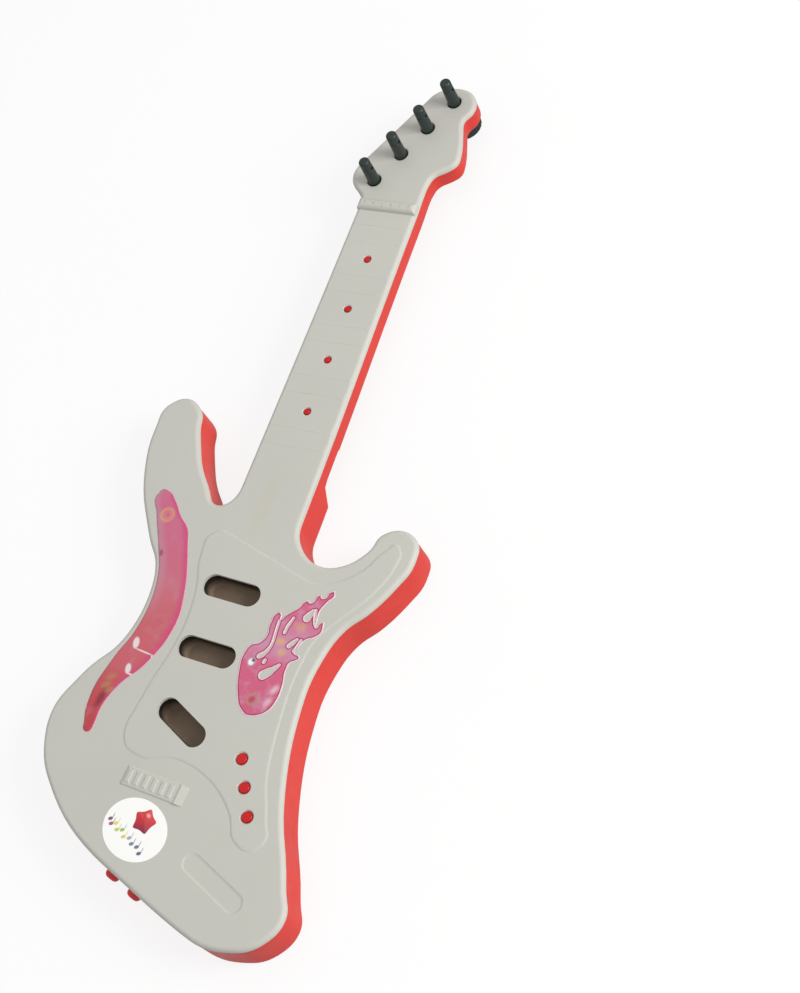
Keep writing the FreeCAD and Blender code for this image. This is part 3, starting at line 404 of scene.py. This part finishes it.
def plated_steel(name, colour, brush=(1, 1, 1)):
    """Bright plated steel with fine drawing lines and dull specks."""
    finish = Finish(name, Metallic=1.0)
    lines = finish.noise(0.0006, detail=3, stretch=brush)
    specks = finish.noise(0.003, detail=5, roughness=0.75)
    finish.colour(finish.mix(finish.span(specks, 0.3, 0.75), shade(colour, 0.75), colour))
    finish.roughness(finish.span(lines, 0.3, 0.7, 0.24, 0.42))
    finish.bump(lines, 0.000008)
    return finish.material


def solder_mask():
    """Green circuit board with its copper tracks showing through the mask."""
    finish = Finish("solder_mask", Coat_Weight=0.4, Coat_Roughness=0.15)
    weave = finish.noise(0.0008, detail=2, stretch=(1, 0.2, 1))
    clear, line = (0, 0, 0, 1), (1, 1, 1, 1)
    bricks = finish.node("ShaderNodeTexBrick", {
        "Vector": finish.place, "Scale": 1.0, "Mortar Size": 0.0004, "Brick Width": 0.009,
        "Row Height": 0.0032, "Color1": clear, "Color2": clear, "Mortar": line})
    tracks = bricks.outputs["Color"]
    green = finish.mix(weave, srgb(18, 84, 44), srgb(28, 104, 56))
    finish.colour(finish.mix(tracks, green, srgb(70, 140, 70)))
    finish.roughness(finish.span(weave, 0.3, 0.7, 0.32, 0.45))
    finish.bump(tracks, 0.00003)
    return finish.material


def ferrite():
    """Dark sintered magnet with a grainy face."""
    finish = Finish("ferrite", Metallic=0.2)
    grain = finish.noise(0.0012, detail=6, roughness=0.8)
    finish.colour(finish.mix(grain, srgb(34, 34, 36), srgb(66, 66, 70)))
    finish.roughness(finish.span(grain, 0.3, 0.7, 0.45, 0.7))
    finish.bump(grain, 0.00003)
    return finish.material


def cone_paper():
    """Black pressed paper of the speaker cone."""
    finish = Finish("cone_paper", Specular_IOR_Level=0.2, Sheen_Weight=0.15)
    fibre = finish.noise(0.0008, detail=6, roughness=0.8)
    finish.colour(finish.mix(fibre, srgb(20, 20, 20), srgb(50, 48, 46)))
    finish.roughness(finish.span(fibre, 0.3, 0.7, 0.7, 0.9))
    finish.bump(fibre, 0.00004)
    return finish.material


def battery_wrap():
    """Printed metal sleeve: gold shoulder, dark body and steel ends, without lettering."""
    lo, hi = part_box("batteries")
    finish = Finish("battery_wrap", Metallic=0.6, Coat_Weight=0.3, Coat_Roughness=0.1)
    span = {"Value": finish.along("X"), "From Min": lo.x, "From Max": hi.x}
    share = finish.node("ShaderNodeMapRange", span).outputs[0]
    steel, gold, dark = srgb(196, 196, 190), srgb(196, 140, 60), srgb(44, 48, 56)
    base = finish.bands(share, ((0.0, steel), (0.05, steel), (0.055, gold), (0.3, gold),
                                (0.31, dark), (0.69, dark), (0.7, gold), (0.945, gold),
                                (0.95, steel), (1.0, steel)))
    scuff = finish.noise(0.004, detail=5, roughness=0.7)
    finish.colour(finish.mark(base, finish.span(scuff, 0.6, 0.8), steel, 0.25))
    finish.roughness(finish.span(scuff, 0.3, 0.75, 0.25, 0.42))
    finish.bump(finish.noise(0.002), 0.00001)
    return finish.material


# ---------------------------------------------------------------- pieces
def placed(name, data):
    """A new object of the data, linked into the scene."""
    made = bpy.data.objects.new(name, data)
    bpy.context.scene.collection.objects.link(made)
    return made


def piece(name, mesh, material, replaces=()):
    """Puts a mesh in the scene as a smooth piece that rides on the closed shells."""
    made = placed(name, mesh)
    mesh.materials.append(material)
    mesh.shade_smooth()
    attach(made, BODY)
    if replaces:
        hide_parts(*replaces)
    return made


def mesh_of(name, points, faces):
    """A mesh of points and of faces that list them."""
    mesh = bpy.data.meshes.new(name)
    mesh.from_pydata([tuple(p) for p in points], [], faces)
    mesh.update()
    return mesh


def joined(name, parts):
    """One mesh of several (points, faces) lists."""
    points, faces = [], []
    for some_points, some_faces in parts:
        start = len(points)
        points += list(some_points)
        faces += [[start + i for i in face] for face in some_faces]
    return mesh_of(name, points, faces)


def lathe(profile, place, axis="Z", segments=64):
    """A closed ring or solid turned from (radius, height) points; a radius of 0 is a pole."""
    points, rings, faces = [], [], []
    for radius, height in profile:
        count = 1 if radius == 0 else segments
        ring = range(len(points), len(points) + count)
        for i in range(count):
            angle = 2 * math.pi * i / segments
            points.append(Vector((radius * math.cos(angle), radius * math.sin(angle), height)))
        rings.append(ring)
    for low, high in zip(rings, rings[1:] + rings[:1]):
        for i in range(segments):
            a, b = low[i % len(low)], low[(i + 1) % len(low)]
            c, d = high[(i + 1) % len(high)], high[i % len(high)]
            face = list(dict.fromkeys((a, b, c, d)))
            if len(face) > 2:
                faces.append(face)
    turn = Matrix.Identity(3)
    if axis != "Z":
        turn = Vector((0, 0, 1)).rotation_difference(Vector(axis)).to_matrix()
    return [turn @ p + Vector(place) for p in points], faces


def sweep(path, radius):
    """A round wire along points, closed at both ends."""
    sides = 10
    points, faces = [], []
    way = (path[1] - path[0]).normalized()
    side = way.orthogonal().normalized()
    for i, place in enumerate(path):
        way = (path[min(i + 1, len(path) - 1)] - path[max(i - 1, 0)]).normalized()
        side = (side - way * side.dot(way)).normalized()
        up = way.cross(side)
        for k in range(sides):
            angle = 2 * math.pi * k / sides
            points.append(place + (side * math.cos(angle) + up * math.sin(angle)) * radius)
    for i in range(len(path) - 1):
        for k in range(sides):
            a, b = i * sides + k, i * sides + (k + 1) % sides
            faces.append([a, b, b + sides, a + sides])
    faces += [list(range(sides))[::-1], list(range(len(points) - sides, len(points)))]
    return points, faces


# ---------------------------------------------------------------- stickers
SAME = 1e-6          # points this close are one point
FAR = 1e9
ROW_SHARE = 0.866    # distance of two rows in a grid of even triangles
RIM_ROUND = 0.0004   # how far in from its edge a foil bends down
RIM_DROP = 0.2       # how far it bends down there, as a share of its thickness
LINE_INSET = 0.0013  # where the embossed line runs
LINE_WIDTH = 0.0004


def outline_loops(node):
    """Closed outlines of a sticker's upper face, as arrays of points."""
    shape = bmesh.new()
    shape.from_mesh(NODES[node].data)
    bmesh.ops.remove_doubles(shape, verts=shape.verts, dist=SAME)
    shape.normal_update()
    neighbours = {}
    for edge in shape.edges:
        a, b = edge.verts
        upward = [face for face in edge.link_faces if face.normal.z > 0.9]
        level = abs(a.co.z - b.co.z) < SAME
        if len(upward) == 1 and level and edge.calc_face_angle(0) > 1:
            neighbours.setdefault(a.index, []).append(b.index)
            neighbours.setdefault(b.index, []).append(a.index)
    shape.verts.ensure_lookup_table()
    top = max(shape.verts[i].co.z for i in neighbours)
    left = {i for i in neighbours if shape.verts[i].co.z > top - SAME}
    loops = []
    while left:
        walk = [min(left)]
        while walk[-1] in left:
            left.remove(walk[-1])
            onward = [i for i in neighbours[walk[-1]] if i in left]
            if onward:
                walk.append(onward[0])
        loops.append(np.array([shape.verts[i].co.xy for i in walk]))
    shape.free()
    return loops


def subdivided(loop, step):
    """A closed loop with no side longer than a step."""
    points = []
    for a, b in zip(loop, np.roll(loop, -1, axis=0)):
        count = max(1, math.ceil(np.linalg.norm(b - a) / step))
        points += [a + (b - a) * i / count for i in range(count)]
    return np.array(points)


def edge_distance(points, loops):
    """Distance of each point to the nearest side of the loops."""
    nearest = np.full(len(points), FAR)
    for loop in loops:
        for a, b in zip(loop, np.roll(loop, -1, axis=0)):
            side = b - a
            share = np.clip((points - a) @ side / max(side @ side, 1e-18), 0, 1)
            away = np.linalg.norm(points - a - share[:, None] * side, axis=1)
            nearest = np.minimum(nearest, away)
    return nearest


def crossings(points, loops):
    """For each point: how many sides lie to its right, and the outline's least and most X there."""
    count = np.zeros(len(points), int)
    low, high = np.full(len(points), FAR), np.full(len(points), -FAR)
    for loop in loops:
        for a, b in zip(loop, np.roll(loop, -1, axis=0)):
            spans = (a[1] > points[:, 1]) != (b[1] > points[:, 1])
            rise = b[1] - a[1] if b[1] != a[1] else 1e-12
            x = a[0] + (points[:, 1] - a[1]) * (b[0] - a[0]) / rise
            count += spans & (x > points[:, 0])
            low = np.where(spans, np.minimum(low, x), low)
            high = np.where(spans, np.maximum(high, x), high)
    return count, low, high


def is_inside(points, loops):
    """For each point, whether an odd number of sides lies to its right."""
    return crossings(points, loops)[0] % 2 == 1


def sticker(name, node, material, step, emboss=0.0):
    """A foil in the CAD sticker's outline: fine mesh, softly rounded rim, embossed line."""
    loops = [subdivided(loop, step) for loop in outline_loops(node)]
    lo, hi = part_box(node)
    rows = math.ceil((hi.y - lo.y) / (step * ROW_SHARE))
    columns = math.ceil((hi.x - lo.x) / step)
    grid = np.array([(lo.x + step * (i + 0.5 * (j % 2)), lo.y + j * step * ROW_SHARE)
                     for j in range(rows + 1) for i in range(columns + 1)])
    kept = is_inside(grid, loops) & (edge_distance(grid, loops) > step * 0.5)
    points = np.vstack(loops + [grid[kept]])
    sides, start = [], 0
    for loop in loops:
        sides += [(start + i, start + (i + 1) % len(loop)) for i in range(len(loop))]
        start += len(loop)
    flat, _, triangles, *_ = delaunay_2d_cdt([Vector(p) for p in points], sides, [], 0, 1e-9)
    flat = np.array([tuple(p) for p in flat])
    triangles = np.array(triangles)
    triangles = triangles[is_inside(flat[triangles].mean(axis=1), loops)]
    depth = edge_distance(flat, loops)
    _, left, right = crossings(flat, loops)
    across = np.clip((flat[:, 0] - left) / np.maximum(right - left, 1e-6), 0, 1)
    rim = RIM_DROP * (hi.z - lo.z) * np.clip(1 - depth / RIM_ROUND, 0, 1) ** 2
    ridge = emboss * np.exp(-((depth - LINE_INSET) / LINE_WIDTH) ** 2)
    count = len(flat)
    upper = np.c_[flat, hi.z - rim + ridge]
    lower = np.c_[flat, np.full(count, lo.z)]
    faces = [list(map(int, t)) for t in triangles]
    faces += [[int(t[2]) + count, int(t[1]) + count, int(t[0]) + count] for t in triangles]
    faces += border_walls(triangles, count)
    mesh = mesh_of(name, np.vstack([upper, lower]), faces)
    for label, values in (("edge", depth), ("across", across)):
        made = mesh.attributes.new(label, "FLOAT", "POINT")
        made.data.foreach_set("value", np.tile(values, 2).astype(np.float32))
    piece(name, mesh, material, replaces=[node])


def border_walls(triangles, count):
    """Faces that close the sides between an upper and a lower skin of triangles."""
    directed = {(int(a), int(b)) for t in triangles for a, b in zip(t, np.roll(t, -1))}
    return [[a, a + count, b + count, b] for a, b in directed if (b, a) not in directed]


STAR_CENTRE = mm(0, -115.5)
STAR_TIP = 0.0112
STAR_NOTCH = 0.0056
STAR_TURN = 78
STAR_CORNERS = 10
STAR_RINGS = ((1.0, 0.0), (0.97, 0.00012), (0.6, 0.0004), (0.25, 0.00055))  # share out, height
STAR_HEIGHT = 0.0006


def label_star(material):
    """Puffed five-pointed star printed on the label."""
    foot = Vector((STAR_CENTRE.x, STAR_CENTRE.y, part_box("printed_label")[1].z))
    count = STAR_CORNERS
    points, faces = [], []
    for share, height in STAR_RINGS:
        for i in range(count):
            angle = math.radians(STAR_TURN + 360 / count * i)
            radius = (STAR_TIP if i % 2 == 0 else STAR_NOTCH) * share
            out = Vector((math.cos(angle), math.sin(angle), 0)) * radius
            points.append(foot + out + Vector((0, 0, height)))
    points.append(foot + Vector((0, 0, STAR_HEIGHT)))
    last = (len(STAR_RINGS) - 1) * count
    for start in range(0, last, count):
        for i in range(count):
            a, b = start + i, start + (i + 1) % count
            faces.append([a, b, b + count, a + count])
    faces += [[last + i, last + (i + 1) % count, last + count] for i in range(count)]
    faces.append(list(range(count))[::-1])
    star = piece("label_star", mesh_of("label_star", points, faces), material)
    rounding = star.modifiers.new("rounding", "SUBSURF")
    rounding.levels = rounding.render_levels = 2


# ---------------------------------------------------------------- speaker and battery space
PAPER_THICK = 0.0006
ROLL_RADIUS = 0.0022
ROLL_HEIGHT = 0.001
RIB_HEIGHT = 0.00018
RIB_COUNT = 3
CAP_RADIUS = 0.009
CAP_DEPTH = 0.003


def speaker_cone_piece(material):
    """Cone with a rolled edge, pressed ribs and a dust cap."""
    lo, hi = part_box("speaker_cone")
    centre = ((lo.x + hi.x) / 2, (lo.y + hi.y) / 2, lo.z)
    radius, height = (hi.x - lo.x) / 2, hi.z - lo.z
    cone_outer = radius - 2 * ROLL_RADIUS
    cone_height = height - 0.0022
    front = [(radius, PAPER_THICK)]
    for i in range(1, 9):
        angle = math.pi * i / 9
        front.append((radius - ROLL_RADIUS * (1 - math.cos(angle)),
                      PAPER_THICK + ROLL_HEIGHT * math.sin(angle)))
    for i in range(1, 25):
        share = i / 24
        rib = RIB_HEIGHT * math.sin(share * 2 * RIB_COUNT * math.pi)
        front.append((cone_outer + share * (CAP_RADIUS - cone_outer),
                      PAPER_THICK + share * cone_height + rib))
    for i in range(1, 9):
        angle = math.pi / 2 * i / 8
        front.append((CAP_RADIUS * math.cos(angle) if i < 8 else 0.0,
                      PAPER_THICK + cone_height - CAP_DEPTH * math.sin(angle)))
    back = [(r, z + PAPER_THICK) for r, z in reversed(front)]
    points, faces = lathe(front + back, centre, segments=96)
    mesh = mesh_of("speaker_cone_paper", points, faces)
    piece("speaker_cone_paper", mesh, material, replaces=["speaker_cone"])


CELL_DIAMETER = 0.0142
PLATE_THICK = 0.0005
PLATE_DISH = 0.0002
CONTACT_REACH = 0.0039   # from a plate to its cell
SPRING_WIDE = 0.0039
SPRING_NARROW = 0.0024
SPRING_WIRE = 0.0003
SPRING_TURNS = 3.5
BUTTON_PROFILE = ((0, 0.0), (0.0034, 0.0), (0.0033, 0.0012), (0.0028, 0.0032),
                  (0.0022, CONTACT_REACH - 0.0001), (0, CONTACT_REACH))


def contact_spring(start, way):
    """Conical wire spring from a contact plate to a cell's flat end."""
    count = int(SPRING_TURNS * 28)
    across = Vector((0, 1, 0))
    up = way.cross(across)
    path = []
    for i in range(count + 1):
        share = i / count
        angle = 2 * math.pi * SPRING_TURNS * share
        radius = SPRING_WIDE + (SPRING_NARROW - SPRING_WIDE) * share
        reach = SPRING_WIRE + (CONTACT_REACH - 2 * SPRING_WIRE) * share
        round_way = across * math.cos(angle) + up * math.sin(angle)
        path.append(start + way * reach + round_way * radius)
    return sweep(path, SPRING_WIRE)


def contact_plate(place, way, size):
    """Square spring-steel plate with a stamped dish, turned towards the cell."""
    half = size / 2
    across, up = Vector((0, 1, 0)), Vector((0, 0, 1))
    steps = 14
    points, faces = [], []
    for side in (1, 0):
        for i in range(steps + 1):
            for j in range(steps + 1):
                u, v = 2 * i / steps - 1, 2 * j / steps - 1
                out = min(1.0, math.hypot(u, v) / 0.9)
                dish = PLATE_DISH * max(0.0, math.cos(out * math.pi / 2))
                corner = 1 - 0.06 * (u * v) ** 2
                points.append(place + across * (u * half * corner) + up * (v * half * corner)
                              + way * (side * (PLATE_THICK - dish)))
    row = steps + 1
    for i in range(steps):
        for j in range(steps):
            a = i * row + j
            faces.append([a, a + 1, a + 1 + row, a + row])
            faces.append([b + row * row for b in (a + row, a + 1 + row, a + 1, a)])
    rim = [(0, k, 0, k + 1) for k in range(steps)]
    rim += [(k, steps, k + 1, steps) for k in range(steps)]
    rim += [(steps, k + 1, steps, k) for k in range(steps)]
    rim += [(k + 1, 0, k, 0) for k in range(steps)]
    for i0, j0, i1, j1 in rim:
        a, b = i0 * row + j0, i1 * row + j1
        faces.append([b, a, a + row * row, b + row * row])
    return points, faces


def battery_contacts_piece(material):
    """Spring at each cell's flat end and a stamped button at its other end."""
    lo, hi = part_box("battery_contacts")
    cells_lo, cells_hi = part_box("batteries")
    height = (lo.z + hi.z) / 2
    pitch = (cells_hi.y - cells_lo.y - CELL_DIAMETER) / 2
    parts = []
    for i in range(3):
        y = cells_lo.y + CELL_DIAMETER / 2 + i * pitch
        spring_left = i % 2 == 0
        ends = ((lo.x, Vector((1, 0, 0)), spring_left), (hi.x, Vector((-1, 0, 0)), not spring_left))
        for x, way, sprung in ends:
            place = Vector((x, y, height))
            parts.append(contact_plate(place, way, hi.z - lo.z))
            start = place + way * PLATE_THICK
            if sprung:
                parts.append(contact_spring(start, way))
            else:
                parts.append(lathe(BUTTON_PROFILE, start, axis=way, segments=32))
    piece("battery_springs", joined("battery_springs", parts), material,
          replaces=["battery_contacts"])


# ---------------------------------------------------------------- everything that the frame shows
def dress_frame():
    """Gives each CAD node its finish."""
    cover = cover_plastic()
    shell = shell_plastic()
    button = moulded("button_plastic", BUTTON_RED, roughness=0.3, mottle=0.06,
                     Specular_IOR_Level=0.35).material
    knob = moulded("knob_plastic", KNOB_RED, roughness=0.32, mottle=0.06, Coat_Weight=0.2).material
    slot = slot_plastic()
    post = moulded("peg_plastic", PEG_GREEN, roughness=0.42, mottle=0.1, depth=0.00001).material
    turner = moulded("peg_knob_plastic", KNOB_BLACK, roughness=0.45, mottle=0.1,
                     depth=0.00001).material
    steel = plated_steel("zinc_steel", STEEL)
    black = moulded("pressed_black", METAL_BLACK, roughness=0.4, mottle=0.15,
                    Metallic=0.3).material
    chip = moulded("epoxy_black", CHIP_BLACK, roughness=0.55, mottle=0.2).material
    tray = moulded("tray_plastic", TRAY_GREY, roughness=0.5, mottle=0.08).material
    control = plated_steel("control_steel", CONTROL_STEEL, brush=(1, 1, 0.05))
    wire = moulded("wire_sleeve", WIRE_GREY, roughness=0.5, mottle=0.12).material
    board = solder_mask()
    pad = rubber()
    wanted = {
        "front_cover": cover, "rear_shell": shell, "battery_door": shell,
        "pickup_insert": slot, "body_button": button, "neck_button": button,
        "tuning_post": post, "tuning_knob": turner, "volume_knob": knob, "tempo_knob": knob,
        "volume_control": control, "tempo_control": control,
        "case_screws": steel, "board_screws": steel, "battery_door_screw": steel,
        "speaker_frame": black, "speaker_magnet": ferrite(), "board_parts": chip,
        "battery_tray": tray, "batteries": battery_wrap(),
        "main_circuit_board": board, "neck_circuit_board": board,
        "body_contact_pad": pad, "neck_contact_pads": pad, "printed_label": label_paper(),
        "neck_cable": wire, "speaker_wires": wire, "knob_wires": wire, "battery_wires": wire}
    for name, node in NODES.items():
        finish = wanted.get(name) or wanted.get(name.rsplit("_", 1)[0])
        if finish:
            for holder in node.material_slots:
                holder.material = finish


# ---------------------------------------------------------------- floor, light and camera
FLOOR_HALF = 6.0
FLOOR_Z = -0.0003
WORLD_STRENGTH = 0.5

CAMERA_AZIMUTH = math.radians(50.952)
CAMERA_ELEVATION = math.radians(57.203)
CAMERA_ROLL = math.radians(-35.351)
CAMERA_DISTANCE = 1.367416
CAMERA_LENS = 72.556
VIEW_PLACE = mm(0, 160, 32)   # near the neck's foot, in the plane of the face
VIEW_RIGHT = 0.07238          # the picture's middle lies this far right of that place
VIEW_DOWN = 0.036131


def floor():
    """Plain pale floor. From below it is clear, so that the back can be looked at."""
    corners = [(-FLOOR_HALF, -FLOOR_HALF, FLOOR_Z), (FLOOR_HALF, -FLOOR_HALF, FLOOR_Z),
               (FLOOR_HALF, FLOOR_HALF, FLOOR_Z), (-FLOOR_HALF, FLOOR_HALF, FLOOR_Z)]
    mesh = mesh_of("floor", corners, [[0, 1, 2, 3]])
    made = placed("floor", mesh)
    made.visible_diffuse = made.visible_glossy = made.visible_shadow = False
    finish = Finish("floor_paint", Roughness=0.9, Specular_IOR_Level=0.0, Emission_Strength=0.84,
                    Emission_Color=(1, 1, 1, 1))
    finish.colour(finish.mix(finish.noise(0.4), (0.15, 0.15, 0.15, 1), (0.17, 0.17, 0.17, 1)))
    clear = finish.node("ShaderNodeBsdfTransparent").outputs[0]
    below = finish.node("ShaderNodeNewGeometry").outputs["Backfacing"]
    both = finish.node("ShaderNodeMixShader", {0: below, 1: finish.shader.outputs[0], 2: clear})
    finish.give(finish.tree.nodes["Material Output"].inputs["Surface"], both.outputs[0])
    mesh.materials.append(finish.material)


def area_light(name, toward, distance, size, watts, colour=(1, 1, 1)):
    """Square soft light that shines at the middle of the guitar."""
    data = bpy.data.lights.new(name, "AREA")
    data.energy, data.size, data.color = watts, size, colour
    made = placed(name, data)
    middle = (CAD_BOX[0] + CAD_BOX[1]) / 2
    way = Vector(toward).normalized()
    made.location = middle + way * distance
    made.rotation_euler = way.to_track_quat("Z", "Y").to_euler()


def light():
    """White surroundings, a key light from the right and a wide soft one overhead."""
    world = bpy.data.worlds.new("studio")
    bpy.context.scene.world = world
    world.use_nodes = True
    surroundings = world.node_tree.nodes["Background"].inputs
    surroundings["Color"].default_value = (1.0, 1.0, 1.0, 1)
    surroundings["Strength"].default_value = WORLD_STRENGTH
    area_light("key", (0.85, 0.15, 0.5), 2.2, 1.0, 34, (1.0, 0.985, 0.96))
    area_light("overhead", (-0.1, 0.2, 1.0), 2.4, 2.2, 8)
    bpy.context.scene.view_settings.view_transform = "Standard"


def camera():
    """The view from above and from the right, rolled so that the neck points up to the right."""
    flat = math.cos(CAMERA_ELEVATION)
    back = Vector((math.sin(CAMERA_AZIMUTH) * flat, -math.cos(CAMERA_AZIMUTH) * flat,
                   math.sin(CAMERA_ELEVATION)))
    level = Vector((math.cos(CAMERA_AZIMUTH), math.sin(CAMERA_AZIMUTH), 0))
    upright = back.cross(level)
    right = level * math.cos(CAMERA_ROLL) + upright * math.sin(CAMERA_ROLL)
    up = upright * math.cos(CAMERA_ROLL) - level * math.sin(CAMERA_ROLL)
    data = bpy.data.cameras.new("camera")
    data.lens, data.sensor_width = CAMERA_LENS, 36.0
    made = placed("camera", data)
    aim = VIEW_PLACE + right * VIEW_RIGHT - up * VIEW_DOWN
    turn = Matrix((right, up, back)).transposed().to_4x4()
    made.matrix_world = Matrix.Translation(aim + back * CAMERA_DISTANCE) @ turn
    bpy.context.scene.camera = made


def main():
    """Sets up the whole scene."""
    camera()
    dress_frame()
    sticker("flame_foil", "flame_sticker", flame_foil(), step=0.00045, emboss=0.00002)
    sticker("swoosh_foil", "swoosh_sticker", swoosh_foil(), step=0.0009)
    label_star(star_gloss())
    speaker_cone_piece(cone_paper())
    battery_contacts_piece(plated_steel("nickel_steel", NICKEL))
    floor()
    light()


main()
